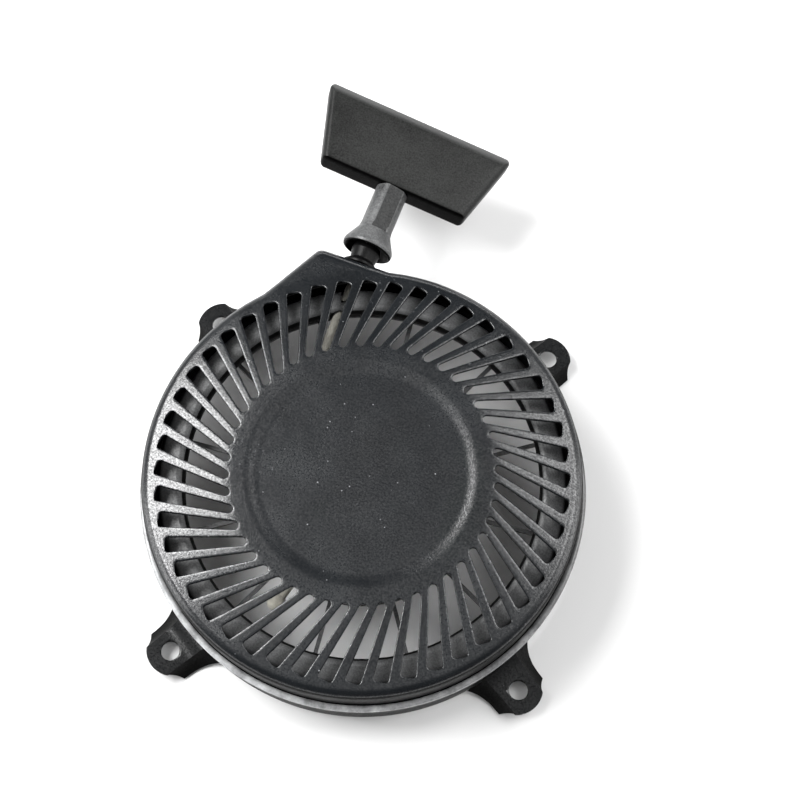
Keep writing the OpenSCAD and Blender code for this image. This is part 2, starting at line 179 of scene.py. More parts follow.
class Nodes:
    """Short names for the nodes that the materials share."""

    def __init__(self, name):
        self.material = bpy.data.materials.new(name)
        self.material.use_nodes = True
        self.tree = self.material.node_tree
        self.shader = self.tree.nodes["Principled BSDF"]
        self.coords = self.add("ShaderNodeTexCoord").outputs["Object"]

    def add(self, kind, **values):
        node = self.tree.nodes.new(kind)
        for key, value in values.items():
            setattr(node, key, value)
        return node

    def link(self, source, target):
        self.tree.links.new(source, target)

    def feed(self, value, socket):
        """Links an output to the socket, or sets a number or colour on it."""
        if hasattr(value, "is_linked"):
            self.link(value, socket)
        else:
            socket.default_value = tuple(value) + (1,) if hasattr(value, "__len__") else value

    def noise(self, scale, detail=4.0, roughness=0.5, stretch=None):
        node = self.add("ShaderNodeTexNoise")
        node.inputs["Scale"].default_value = scale
        node.inputs["Detail"].default_value = detail
        node.inputs["Roughness"].default_value = roughness
        place = self.coords
        if stretch:
            mapping = self.add("ShaderNodeMapping")
            mapping.inputs["Scale"].default_value = stretch
            self.link(self.coords, mapping.inputs["Vector"])
            place = mapping.outputs["Vector"]
        self.link(place, node.inputs["Vector"])
        return node.outputs["Fac"]

    def cells(self, scale):
        """Distance to the nearest of some scattered points."""
        node = self.add("ShaderNodeTexVoronoi", feature="F1")
        node.inputs["Scale"].default_value = scale
        self.link(self.coords, node.inputs["Vector"])
        return node.outputs["Distance"]

    def y_share(self, vector, scale):
        """The vector's Y times scale, moved so that zero becomes one half."""
        split = self.add("ShaderNodeSeparateXYZ")
        self.link(vector, split.inputs[0])
        return self.math("ADD", self.math("MULTIPLY", split.outputs["Y"], scale), 0.5)

    def ramp(self, source, stops):
        """stops: (position, value or colour)."""
        node = self.add("ShaderNodeValToRGB")
        marks = node.color_ramp.elements
        while len(marks) < len(stops):
            marks.new(0.5)
        for mark, (position, value) in zip(marks, stops):
            mark.position = position
            mark.color = tuple(value) + (1,) if hasattr(value, "__len__") else (value,) * 3 + (1,)
        self.link(source, node.inputs["Fac"])
        return node.outputs["Color"]

    def math(self, operation, a, b):
        node = self.add("ShaderNodeMath", operation=operation)
        self.feed(a, node.inputs[0])
        self.feed(b, node.inputs[1])
        return node.outputs[0]

    def weighted(self, a, b, share):
        """Sum of two sources, with this share of the first."""
        return self.math("ADD", self.math("MULTIPLY", a, share), self.math("MULTIPLY", b, 1 - share))

    def mix(self, factor, a, b):
        node = self.add("ShaderNodeMix", data_type="RGBA")
        for index, value in ((0, factor), (6, a), (7, b)):
            self.feed(value, node.inputs[index])
        return node.outputs[2]

    def bump(self, layers):
        """layers: (height source, strength, distance in metres)."""
        normal = None
        for height, strength, distance in layers:
            node = self.add("ShaderNodeBump")
            node.inputs["Strength"].default_value = strength
            node.inputs["Distance"].default_value = distance
            self.link(height, node.inputs["Height"])
            if normal:
                self.link(normal, node.inputs["Normal"])
            normal = node.outputs["Normal"]
        self.link(normal, self.shader.inputs["Normal"])

    def put(self, **sockets):
        """Fills the shader's sockets and gives the finished material."""
        for name, value in sockets.items():
            self.feed(value, self.shader.inputs[name.replace("_", " ")])
        return self.material


DUST = (0.36, 0.37, 0.38)


def painted_steel(name, dark, light, gloss=(0.18, 0.27), grain=0.45, scuffs=True, specular=0.5):
    """Black paint: fine orange peel, faint clouding and, with scuffs, a few pale specks and rubs."""
    n = Nodes(name)
    peel = n.noise(1500, 2, 0.6)
    colour = n.ramp(n.noise(28, 5, 0.6), [(0.3, dark), (0.7, light)])
    if scuffs:
        specks = n.ramp(n.cells(185), [(0.0, 0.9), (0.075, 0.0)])
        speckled = n.ramp(n.noise(34, 3), [(0.44, 0.0), (0.56, 1.0)])
        rubs = n.ramp(n.noise(520, 6, 0.75), [(0.60, 0.0), (0.76, 0.45)])
        rubs_and_highlight = n.ramp(n.noise(21, 2), [(0.57, 0.0), (0.68, 1.0)])
        marks = n.math("MAXIMUM", n.math("MULTIPLY", specks, speckled), n.math("MULTIPLY", rubs, rubs_and_highlight))
        colour = n.mix(marks, colour, DUST)
    shine = n.ramp(n.weighted(n.noise(60, 4, 0.55), peel, 0.5), [(0.35, gloss[0]), (0.65, gloss[1])])
    n.bump([(peel, grain, 0.0001), (n.noise(330, 2, 0.5), grain * 0.3, 0.00012)])
    glints = n.ramp(n.noise(1250, 3, 0.7), [(0.38, specular * 0.45), (0.62, specular * 1.5)])
    return n.put(Base_Color=colour, Roughness=shine, Specular_IOR_Level=glints)


def lip_highlight_paint(name):
    """Black paint with a painted highlight: pale grey on the ring's -Y side, fading to black towards +Y."""
    n = Nodes(name)
    highlight_share = n.ramp(n.y_share(n.coords, 5.0), [(0.02, 1.0), (0.42, 0.30), (0.80, 0.0)])
    highlight_grey = n.ramp(n.noise(140, 5, 0.65), [(0.34, (0.16, 0.162, 0.165)), (0.66, (0.46, 0.465, 0.47))])
    colour = n.mix(highlight_share, (0.006, 0.0062, 0.0065), highlight_grey)
    gloss = n.ramp(n.noise(300, 4, 0.6), [(0.35, 0.16), (0.65, 0.3)])
    n.bump([(n.noise(1500, 2, 0.6), 0.15, 0.0001)])
    return n.put(Base_Color=colour, Roughness=gloss)


def grained_plastic(name, dark, light, grain=1500, roughness=(0.5, 0.68), bump=0.5, specular=0.5,
                    shade_and_highlight=False):
    """Moulded plastic with a spark-eroded grain and faint clouding; the grip's copy also gets painted shade
    and a painted highlight.
    """
    n = Nodes(name)
    pits = n.noise(grain, 4, 0.65)
    clouds = n.noise(35, 4, 0.6)
    colour = n.ramp(n.weighted(pits, clouds, 0.65), [(0.36, dark), (0.64, light)])
    gloss = n.ramp(clouds, [(0.3, roughness[0]), (0.7, roughness[1])])
    if shade_and_highlight:
        # Painted shade darkens the side towards the starter, and a painted highlight makes the ridge along
        # the far edge shine
        facing = n.y_share(n.add("ShaderNodeTexCoord").outputs["Normal"], 0.5)
        shade = n.ramp(facing, [(0.10, 0.06), (0.46, 1.0)])
        rubs_and_highlight = n.ramp(facing, [(0.56, 1.0 / 6), (0.68, 1.0), (0.80, 1.0), (0.93, 1.0 / 6)])
        colour = n.mix(shade, (0.0005, 0.0005, 0.0005), colour)
        specular = n.math("MULTIPLY", n.math("MULTIPLY", shade, rubs_and_highlight), specular * 6)
    n.bump([(pits, bump, 0.00016), (n.noise(grain / 4, 2), bump * 0.4, 0.00025)])
    return n.put(Base_Color=colour, Roughness=gloss, Specular_IOR_Level=specular)


def plated_metal(name, dark, light, roughness=(0.25, 0.42)):
    """Plated or turned metal with stains, and faint tool marks that run around Z."""
    n = Nodes(name)
    stains = n.noise(90, 5, 0.6)
    marks = n.noise(240, 4, 0.7, (1, 1, 12))
    colour = n.ramp(stains, [(0.3, dark), (0.7, light)])
    gloss = n.ramp(marks, [(0.3, roughness[0]), (0.7, roughness[1])])
    n.bump([(marks, 0.22, 0.00006)])
    return n.put(Base_Color=colour, Roughness=gloss, Metallic=1.0)


def braided_fibre(name, shade):
    """Pale rope fibre with soiled patches and fine filaments; shade scales its colours."""
    n = Nodes(name)
    soil = n.noise(120, 5, 0.65)
    fibres = n.noise(2600, 3, 0.7)
    dirty, clean, tips = [tuple(c * shade for c in colour) for colour in
                          ((0.15, 0.14, 0.115), (0.36, 0.345, 0.295), (0.46, 0.45, 0.40))]
    colour = n.ramp(soil, [(0.32, dirty), (0.62, clean)])
    colour = n.mix(n.math("MULTIPLY", fibres, 0.5), colour, tips)
    n.bump([(fibres, 0.5, 0.00012)])
    return n.put(Base_Color=colour, Roughness=0.82, Sheen_Weight=0.25 * shade)


def floor_paper(name):
    """Matt white paper."""
    n = Nodes(name)
    colour = n.ramp(n.noise(3, 3), [(0.3, (0.63, 0.63, 0.63)), (0.7, (0.65, 0.65, 0.65))])
    n.bump([(n.noise(900, 2), 0.03, 0.0001)])
    return n.put(Base_Color=colour, Roughness=0.65, Specular_IOR_Level=0.25)


PAINT = painted_steel("satin_black_paint", (0.0034, 0.0040, 0.0048), (0.0066, 0.0078, 0.0092))
RING_PAINT = painted_steel("ring_black_paint", (0.0024, 0.0026, 0.0029), (0.0050, 0.0054, 0.0058),
                           (0.12, 0.2), 0.16, specular=0.3)
# Painted light: a lighter grey copy of the black paint, for the flange where light falls through the slots
FLANGE_LIT_PAINT = painted_steel("flange_painted_light_grey", (0.030, 0.031, 0.032), (0.060, 0.061, 0.062),
                             (0.42, 0.55), 0.1, False)
LIP_PAINT = lip_highlight_paint("lip_painted_highlight")
# Painted shade: near-black paint with almost no reflection, for steep walls, skirts and hollows that lie in
# shade
SHADE_PAINT = painted_steel("painted_shade_black", (0.002, 0.002, 0.002), (0.004, 0.004, 0.004),
                            (0.4, 0.55), 0.1, False, 0.06)
INNER_PAINT = painted_steel("inner_black_paint", (0.02, 0.02, 0.021), (0.05, 0.051, 0.052),
                            (0.3, 0.45), 0.1, False)
GRIP = grained_plastic("grip_plastic", (0.0003, 0.0003, 0.0003), (0.018, 0.019, 0.018),
                       1300, (0.36, 0.48), 0.6, 0.16, shade_and_highlight=True)
NECK = grained_plastic("neck_plastic", (0.016, 0.0165, 0.017), (0.095, 0.097, 0.098),
                       1100, (0.34, 0.46), 0.5, 0.4)
NECK_FLAT = grained_plastic("neck_flat_plastic", (0.006, 0.006, 0.0062), (0.034, 0.035, 0.035),
                            1100, (0.5, 0.6), 0.5, 0.2)
NYLON = grained_plastic("black_nylon", (0.0015, 0.0015, 0.0016), (0.004, 0.004, 0.0042),
                        700, (0.3, 0.5), 0.2, 0.1)
PULLEY_NYLON = grained_plastic("pulley_nylon", (0.016, 0.015, 0.014), (0.035, 0.033, 0.031),
                               500, (0.42, 0.6), 0.25)
ZINC = plated_metal("zinc_plate", (0.42, 0.42, 0.40), (0.62, 0.61, 0.57))
PAWL_STEEL = plated_metal("pawl_steel", (0.30, 0.29, 0.27), (0.50, 0.48, 0.45), (0.3, 0.5))
SPRING_STEEL = plated_metal("spring_steel", (0.14, 0.16, 0.21), (0.28, 0.30, 0.36), (0.2, 0.4))
BRONZE = plated_metal("sintered_bronze", (0.38, 0.24, 0.09), (0.60, 0.41, 0.19), (0.35, 0.55))
ROPE = braided_fibre("rope_braid", 1.4)
# A darker copy of the same rope, for the stretch inside the housing: painted shade
ROPE_SHADED = braided_fibre("rope_braid_painted_shade", 0.42)

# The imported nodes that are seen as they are, with the material that each gets
NODE_LOOKS = {
    "guard_spider": INNER_PAINT, "spring_case": ZINC, "recoil_spring": SPRING_STEEL,
    "centre_post": ZINC, "brake_spring": SPRING_STEEL, "screw_washer": ZINC, "centre_screw": ZINC,
    "eyelet_retainer": ZINC, "rope_pulley": PULLEY_NYLON, "pulley_bush": BRONZE, "wound_rope": ROPE,
    "pulley_knot": ROPE, "pawl_pins": ZINC, "friction_plate": ZINC, "pawl_1": PAWL_STEEL,
    "pawl_2": PAWL_STEEL, "grip_knot": ROPE, "knot_washer": ZINC,
}
for node_name, look in NODE_LOOKS.items():
    node_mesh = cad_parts[node_name].data
    node_mesh.materials.clear()
    node_mesh.materials.append(look)


def add_materials(obj, *materials):
    """Further materials of a piece: the first of them has the index 1."""
    for material in materials:
        obj.data.materials.append(material)


# ---------------------------------------------------------------- rope's line

ROPE_X, ROPE_Z, ROPE_R = -40.0, 39.6, 2.25
TO_ROPE_LINE = Matrix.Translation((ROPE_X, 0, ROPE_Z)) @ Matrix.Rotation(math.radians(-90), 4, "X")


# ---------------------------------------------------------------- slotted cover

COVER_R = 98.6                              # the round side wall
WALL_R = 95.6                               # the two flat walls beside the rope outlet
CROWN_Z, FOOT_Z, COVER_T = 56.2, 30.3, 1.4
EDGE_R = 5.0                                # the rounding between top and side wall
DISH_R, DISH_DEPTH, DISH_WALL = 45.4, 0.9, 7.2
CONE_R, CONE_BLEND = 59.0, 1.2              # the top falls away outside CONE_R
SLOPE = math.tan(math.radians(7.5))
# The steep outer faces that STEEP picks out get the near-black paint of painted shade
STEEP = 0.5                                 # normals flatter than this get the blacker paint

SLOTS = 48
PITCH = 360 / SLOTS
SLOT_IN, SLOT_OUT = 59.0, 91.9
SLOT_W_IN, SLOT_W_OUT, SLOT_CORNER = 3.6, 6.8, 1.7
SWIRL, PHASE = 11.6, 0.8                    # degrees: lead of each slot, turn of the first one
SECTOR_IN, SECTOR_OUT = 56.6, 92.5          # the ring that the slots are cut in
SIDE_STEPS, IN_STEPS, OUT_STEPS = 14, 8, 10
END_BEND = 0.4                              # share of a slot's outer end in each of its corners
# The slot's rounded upper edge: steps away from the slot, with the drop at each
SLOT_EDGE = ((0.0, 0.42), (0.06, 0.2), (0.2, 0.06), (0.42, 0.0))

# The outlet corner lies between a wall that faces +Y and one that is turned to OUTLET_TURN
OUTLET_TURN = 154
CORNER_R = 9.0
CORNER_AT = (90 + OUTLET_TURN) / 2
CORNER_CENTRE_R = (WALL_R - CORNER_R) / math.cos(math.radians((OUTLET_TURN - 90) / 2))


def cover_height(r):
    """Height of the cover's upper face at radius r, out to the rounded edge."""
    step = smoothstep((r - DISH_R) / DISH_WALL)
    z = CROWN_Z - DISH_DEPTH * (1 - step)
    fall = r - CONE_R
    if fall > 0:
        z -= SLOPE * fall * fall / (fall + CONE_BLEND)
    return z


def outline_radius(degrees, inset):
    """Distance from the axis to the cover's side wall, moved inwards by inset."""
    round_r = COVER_R - inset
    a = (degrees + 360) % 360
    if not 85 < a < OUTLET_TURN + 5:
        return round_r
    wall = WALL_R - inset
    corner = CORNER_R - inset
    centre = CORNER_CENTRE_R * Vector(polar(1, CORNER_AT))
    first = centre + corner * Vector((0, 1))
    last = centre + corner * Vector(polar(1, OUTLET_TURN))
    ray = Vector(polar(1, a))
    if math.degrees(math.atan2(first.y, first.x)) < a < math.degrees(math.atan2(last.y, last.x)):
        along = ray.dot(centre)
        return along + math.sqrt(max(0.0, corner ** 2 - centre.length_squared + along ** 2))
    wall_hit = wall / math.cos(math.radians(a - (90 if a < CORNER_AT else OUTLET_TURN)))
    return max(round_r, wall_hit)


def slot_line(t):
    """Point on the slot's centre line: t is 0 at its inner end and 1 at its outer end."""
    lead = math.radians(SWIRL)
    inner = Vector((SLOT_IN, 0))
    outer = Vector((SLOT_OUT * math.cos(lead), -SLOT_OUT * math.sin(lead)))
    return inner.lerp(outer, t)


def on_radius(r):
    """The share t at which the centre line meets radius r."""
    return where_reached(lambda t: slot_line(t).length, r, -0.5, 1.5)


def slot_loops():
    """Slot outline and the sector's border, point for point, both counter-clockwise."""
    axis = (slot_line(1) - slot_line(0)).normalized()
    across = Vector((-axis.y, axis.x))
    length = (slot_line(1) - slot_line(0)).length
    end_r, corner = SLOT_W_IN / 2, SLOT_CORNER

    def width(a):
        return (SLOT_W_IN + (SLOT_W_OUT - SLOT_W_IN) * a / length) / 2

    def place(a, b):
        return slot_line(0) + axis * a + across * b

    def border(t, side):
        angle = math.radians(side * PITCH / 2)
        p = slot_line(t)
        return Vector((p.x * math.cos(angle) - p.y * math.sin(angle),
                       p.x * math.sin(angle) + p.y * math.cos(angle)))

    def rim(r, share):
        start = border(on_radius(r), -1)
        angle = math.atan2(start.y, start.x) + math.radians(PITCH) * share
        return Vector((r * math.cos(angle), r * math.sin(angle)))

    slot, edge = [], []
    first, last = end_r, length - corner
    t_in, t_out = on_radius(SECTOR_IN), on_radius(SECTOR_OUT)
    for i in range(SIDE_STEPS):
        s = i / SIDE_STEPS
        a = first + (last - first) * s
        slot.append(place(a, -width(a)))
        edge.append(border(t_in + (t_out - t_in) * s, -1))
    for i in range(OUT_STEPS):
        s = i / OUT_STEPS
        w = width(length)
        if s <= END_BEND:
            turn = math.radians(-90 + 90 * s / END_BEND)
            slot.append(place(last + corner * math.cos(turn), -w + corner + corner * math.sin(turn)))
        elif s < 1 - END_BEND:
            slot.append(place(length, (s - 0.5) / (0.5 - END_BEND) * (w - corner)))
        else:
            turn = math.radians(90 * (s - (1 - END_BEND)) / END_BEND)
            slot.append(place(last + corner * math.cos(turn), w - corner + corner * math.sin(turn)))
        edge.append(rim(SECTOR_OUT, s))
    for i in range(SIDE_STEPS):
        s = 1 - i / SIDE_STEPS
        a = first + (last - first) * s
        slot.append(place(a, width(a)))
        edge.append(border(t_in + (t_out - t_in) * s, 1))
    for i in range(IN_STEPS):
        s = i / IN_STEPS
        turn = math.radians(90 + 180 * s)
        slot.append(place(end_r + end_r * math.cos(turn), end_r * math.sin(turn)))
        edge.append(rim(SECTOR_IN, 1 - s))
    return slot, edge


def cover_sector():
    """The loops of plan points from a slot's edge out to its sector's border, each with its drop."""
    slot, edge = slot_loops()
    count = len(slot)
    normals = []
    for i in range(count):
        d = slot[(i + 1) % count] - slot[i - 1]
        normals.append(Vector((d.y, -d.x)).normalized())
    loops = []
    for out, drop in SLOT_EDGE:
        loops.append(([slot[i] + normals[i] * out for i in range(count)], drop))
    flat_from = SLOT_EDGE[-1][0]
    for share in (0.45, 1.0):
        loops.append(([(slot[i] + normals[i] * flat_from).lerp(edge[i], share) for i in range(count)], 0.0))
    return loops


def border_angles(index, steps):
    """Angles of steps equal parts of every sector, from this point of the first sector's border on."""
    start = slot_loops()[1][index]
    columns = SLOTS * steps
    first = math.degrees(math.atan2(start.y, start.x)) + PHASE
    return [first + 360 * c / columns for c in range(columns)]


def sector_parts():
    """Upper skin, lower skin and slot wall of each sector."""
    loops = cover_sector()
    rows, count = len(loops), len(loops[0][0])
    parts = []
    for k in range(SLOTS):
        turn = Matrix.Rotation(math.radians(PHASE + k * PITCH), 2)
        upper, lower = [], []
        for points, drop in loops:
            for p in points:
                q = turn @ p
                z = cover_height(q.length)
                upper.append((q.x, q.y, z - drop))
                lower.append((q.x, q.y, z - COVER_T))
        parts.append((upper, grid_faces(rows, count)))
        parts.append((lower, grid_faces(rows, count)))
        parts.append((upper[:count] + lower[:count], grid_faces(2, count)))
    return parts


def flat_row(share, drop):
    """A row between the slots and the rounded edge, as a function of the angle."""
    top_z = cover_height(SECTOR_OUT)

    def row(a):
        end = outline_radius(a, EDGE_R)
        r = SECTOR_OUT + max(0.0, end - SECTOR_OUT) * share
        return r, min(top_z, top_z - SLOPE * min(r - SECTOR_OUT, 4)) - drop
    return row


def bend_row(degrees, inset):
    """A row on the rounded edge, this far round it."""
    def row(a):
        end_r, end_z = flat_row(1, 0)(a)
        radius = EDGE_R - inset
        r = outline_radius(a, EDGE_R) + radius * math.sin(math.radians(degrees))
        z = end_z - EDGE_R + radius * math.cos(math.radians(degrees))
        return max(r, end_r - inset), z
    return row


def wall_row(share, inset):
    """A row on the side wall, with this share of the way down to the foot."""
    def row(a):
        end_z = flat_row(1, 0)(a)[1] - EDGE_R
        return outline_radius(a, inset), end_z + (FOOT_Z - end_z) * share
    return row


def edge_part():
    """The skin from the slots' outer ends over the edge, down the wall and back up inside."""
    rows = [flat_row(s, 0) for s in (0, 0.25, 0.5, 0.75, 1)]
    rows += [bend_row(d, 0) for d in (10, 22, 34, 46, 58, 70, 80, 90)]
    rows += [wall_row(s, 0) for s in (0.2, 0.5, 0.8, 0.97, 1)]
    rows += [wall_row(s, COVER_T) for s in (1, 0.97, 0.5, 0.1)]
    rows += [bend_row(d, COVER_T) for d in (90, 70, 46, 22)]
    rows += [flat_row(s, COVER_T) for s in (1, 0.75, 0.5, 0.25, 0)]
    angles = border_angles(SIDE_STEPS, OUT_STEPS)
    verts = []
    for row in rows:
        for a in angles:
            r, z = row(a)
            verts.append((*polar(r, a), z))
    return verts, grid_faces(len(rows), len(angles))


def middle_parts():
    """Upper and lower skin of the dish and its surround, inside the slots."""
    angles = border_angles(0, IN_STEPS)
    columns = len(angles)
    dish_wall = [DISH_R + DISH_WALL * (1 - s / 12) for s in range(13)]
    radii = [SECTOR_IN, 54, 52.4] + dish_wall + [45, 40, 30, 20, 10, 3]
    parts = []
    for drop in (0, COVER_T):
        verts = [(*polar(r, a), cover_height(r) - drop) for r in radii for a in angles]
        verts.append((0, 0, cover_height(0) - drop))
        centre, last = len(verts) - 1, (len(radii) - 1) * columns
        faces = grid_faces(len(radii), columns)
        faces += [(last + c, last + (c + 1) % columns, centre) for c in range(columns)]
        parts.append((verts, faces))
    return parts


def build_cover():
    """The slotted cover in one mesh, with painted shade: a near-black paint on its steep outer faces."""
    verts, faces = joined(sector_parts() + [edge_part()] + middle_parts())
    cover = add_mesh("cover_shell", verts, faces, PAINT, 40)
    add_materials(cover, SHADE_PAINT)
    for face in cover.data.polygons:
        outer = math.hypot(face.center.x, face.center.y) > (SLOT_OUT + 2) * MM
        if outer and abs(face.normal.z) < STEEP:
            face.material_index = 1
    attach(cover, "root")
    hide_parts("slotted_cover")


build_cover()


# ---------------------------------------------------------------- base ring

BASE_R, LIP_Z, BASE_T = 101.0, 30.7, 1.6
AIR_R, FLANGE_Z = 80.0, 43.4                # the air opening and the flange's top
WAY_R = 3.2                                 # the hole that the rope runs through
BEAD_R, BEAD_AT_R = 1.3, BASE_R - 0.3
ROLL_R, ROLL_INNER_R = 3.6, 2.0

EAR_R, EAR_HOLE_R, EAR_FIRST = 114.0, 4.35, 60
EAR_ROOT_R, EAR_TIP_R = BASE_R - 1.6, 10.7
PAD_T, PAD_HALF, PAD_SHARE = 1.8, 8.3, 0.6  # the pad takes this share of the ear's width
SKIRT_DROP, SKIRT_W, SKIRT_T, SKIRT_LEAN = 6.0, 4.9, BASE_T * 0.75, BASE_T * 0.78
RISE, RISE_LENGTH = 3.6, 12.0


def base_profile():
    """Closed half section of the ring: foot, wall, rolled lip, groove, inward flange and back."""
    outer = [(BASE_R - 0.2, 0.0), (BASE_R, 0.5), (BASE_R, 4), (BASE_R - 0.1, 14), (BASE_R - 0.2, 25)]
    bead = arc(BEAD_AT_R, LIP_Z - BEAD_R, BEAD_R, -50, 75, 8)
    bead += [(100.3, LIP_Z), (99.7, LIP_Z - 0.1), (99.2, LIP_Z - 0.5)]
    groove = [(99.0, LIP_Z - 1.0), (98.0, LIP_Z - 1.2), (96.6, LIP_Z - 0.9), (95.2, LIP_Z - 0.5)]
    drop = [(94.2, LIP_Z + 2.2), (93.0, LIP_Z + 6.0)] + arc(89.4, FLANGE_Z - 4.2, 2.6, 15, 80, 7)
    roll_at = (AIR_R + ROLL_R, FLANGE_Z - ROLL_R)
    roll = arc(*roll_at, ROLL_R, 84, 180, 12) + [(AIR_R, FLANGE_Z - 5.2)]
    under = [(AIR_R + 0.6, FLANGE_Z - 5.4), (AIR_R + 1.4, FLANGE_Z - 5.2), (AIR_R + 1.5, FLANGE_Z - 3.8)]
    back = arc(*roll_at, ROLL_INNER_R, 160, 90, 6) + arc(89.2, FLANGE_Z - 4.6, 1.2, 80, 15, 4)
    inside = [(91.4, LIP_Z + 5.0), (93.6, LIP_Z - 1.9), (96.4, LIP_Z - 2.6), (98.6, LIP_Z - 3.4), (99.2, 24),
              (99.3, 14), (99.4, 4), (99.4, 0.3), (99.6, 0.0)]
    return outer + bead + groove + drop + roll + under + back + inside


def ear_shape():
    """One closed ear lying along +X, before its hole is cut: pad, tip and two sloping skirts."""
    across = [-1 + i / 12 for i in range(25)]
    lengths = [i / 20 for i in range(21)]
    upper, lower = [], []
    for t in lengths:
        half = PAD_HALF * (1 + 0.15 * (1 - t) ** 2)
        flare = 1 + 0.75 * (1 - t) ** 3
        for s in across:
            side = abs(s)
            # How far down the skirt this point is: 0 on the whole pad
            share = max(0.0, side - PAD_SHARE) / (1 - PAD_SHARE)
            if share:
                y = half + SKIRT_W * flare * (0.12 + 0.88 * share) * share ** 0.9
                lean, thick = SKIRT_LEAN, SKIRT_T
            else:
                y = half * side / PAD_SHARE
                lean, thick = 0.0, PAD_T
            round_y = min(y, half) * 0.92
            tip = EAR_R + math.sqrt(max(0.0, EAR_TIP_R ** 2 - round_y ** 2)) - 5.0 * share
            x = EAR_ROOT_R + (tip - EAR_ROOT_R) * t
            near_wall = 1 - min(1.0, (x - EAR_ROOT_R) / RISE_LENGTH)
            z = PAD_T - (SKIRT_DROP + PAD_T - SKIRT_T) * share ** 1.12
            z += RISE * near_wall ** 2 * (1 - 0.3 * share)
            sign = 1 if s >= 0 else -1
            upper.append((x, y * sign, z))
            lower.append((x, (y - lean) * sign, z - thick))
    rows, cols = len(lengths), len(across)
    shift = rows * cols
    faces = grid_faces(rows, cols, closed_cols=False) + grid_faces(rows, cols, closed_cols=False, first=shift)
    for r in range(rows - 1):
        for c in (0, cols - 1):
            a, b = r * cols + c, (r + 1) * cols + c
            faces.append((a, b, b + shift, a + shift))
    for c in range(cols - 1):
        for r in (0, rows - 1):
            a = r * cols + c
            faces.append((a, a + 1, a + 1 + shift, a + shift))
    return upper + lower, faces


def cut_with(obj, cutter):
    """Takes the cutter's shape out of obj, then removes the cutter."""
    modifier = obj.modifiers.new("cut", "BOOLEAN")
    modifier.operation = "DIFFERENCE"
    modifier.solver = "EXACT"
    modifier.object = cutter
    bpy.context.view_layer.update()
    depsgraph = bpy.context.evaluated_depsgraph_get()
    mesh = bpy.data.meshes.new_from_object(obj.evaluated_get(depsgraph))
    obj.modifiers.clear()
    obj.data = mesh
    bpy.data.objects.remove(cutter)


def build_ring():
    """The ring with its way for the rope; its materials follow from height and radius."""
    verts, faces = revolve(base_profile(), 288)
    base = add_mesh("base_shell", verts, faces, RING_PAINT, 40)
    add_materials(base, FLANGE_LIT_PAINT, SHADE_PAINT, LIP_PAINT)
    flange, shade, lip = 1, 2, 3
    for face in base.data.polygons:
        r, z = math.hypot(face.center.x, face.center.y) / MM, face.center.z / MM
        # Painted light and shade: near-black shade paint on the roll's inner wall and the outer wall below
        # the lip, a lighter grey on the flange where light falls through the slots, and a painted highlight
        # on the lip's -Y side
        if r < AIR_R + 1.1:
            face.material_index = shade
        elif r < 94.8 and z > LIP_Z:
            face.material_index = flange
        elif r > 99.0 and z > LIP_Z - 1.6:
            face.material_index = lip
        elif r > 99.6:
            face.material_index = shade
    way_verts, way_faces = revolve([(0, 60), (WAY_R, 60), (WAY_R, 100), (0, 100)], 40, closed=False)
    cut_with(base, add_mesh("way_cutter", turned(way_verts, TO_ROPE_LINE), way_faces, SHADE_PAINT))
    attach(base, "root")
    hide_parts("base_ring")


def build_ears():
    """Four copies of one drilled ear, with painted shade in near-black paint on the skirts."""
    ear_verts, ear_faces = ear_shape()
    ear = add_mesh("ear_blank", ear_verts, ear_faces, RING_PAINT, 35)
    add_materials(ear, SHADE_PAINT)
    for face in ear.data.polygons:
        if abs(face.normal.y) > 0.42:
            face.material_index = 1
    hole = [(0, -4), (EAR_HOLE_R, -4), (EAR_HOLE_R, 6), (0, 6)]
    drill_verts, drill_faces = revolve(hole, 48, closed=False)
    drill_verts = turned(drill_verts, Matrix.Translation((EAR_R, 0, 0)))
    cut_with(ear, add_mesh("ear_cutter", drill_verts, drill_faces, RING_PAINT))
    for k in range(4):
        copy = bpy.data.objects.new(f"ear_{k + 1}", ear.data.copy())
        bpy.context.collection.objects.link(copy)
        copy.data.transform(Matrix.Rotation(math.radians(EAR_FIRST + 90 * k), 4, "Z"))
        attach(copy, "root")
    bpy.data.objects.remove(ear)


def build_shelf():
    """Plate that closes the cover's rope outlet from below, outside the round wall."""
    steps = 96
    near = BASE_R - 0.9
    low, high = FOOT_Z - 1.7, FOOT_Z - 0.1
    reach = math.degrees(math.acos(WALL_R / (BASE_R - 0.6)))
    verts = []
    for i in range(steps + 1):
        a = 90 + reach + (OUTLET_TURN - 90 - 2 * reach) * i / steps
        far = max(outline_radius(a, 0.0) - 0.05, BASE_R - 0.5)
        section = ((near, low), (far - 0.2, low), (far, FOOT_Z - 1.5), (far, high), (near, high))
        verts += [(*polar(r, a), z) for r, z in section]
    faces = grid_faces(steps + 1, 5) + end_caps(steps + 1, 5)
    shelf = add_mesh("outlet_shelf", verts, faces, RING_PAINT, 35)
    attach(shelf, "root")


build_ring()
build_ears()
build_shelf()


# ---------------------------------------------------------------- rope eyelet, neck and grip

WALL_Y = WALL_R
NECK_Y = WALL_Y + 9                         # where the neck's foot starts
GRIP_Y = NECK_Y + 33                        # where the grip's near edge lies


def turned_piece(name, profile, material, body, node, steps):
    """A piece turned about the rope's line; profile points are (radius, y)."""
    verts, faces = revolve(profile, steps)
    piece = add_mesh(name, turned(verts, TO_ROPE_LINE), faces, material, 35)
    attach(piece, body)
    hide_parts(node)


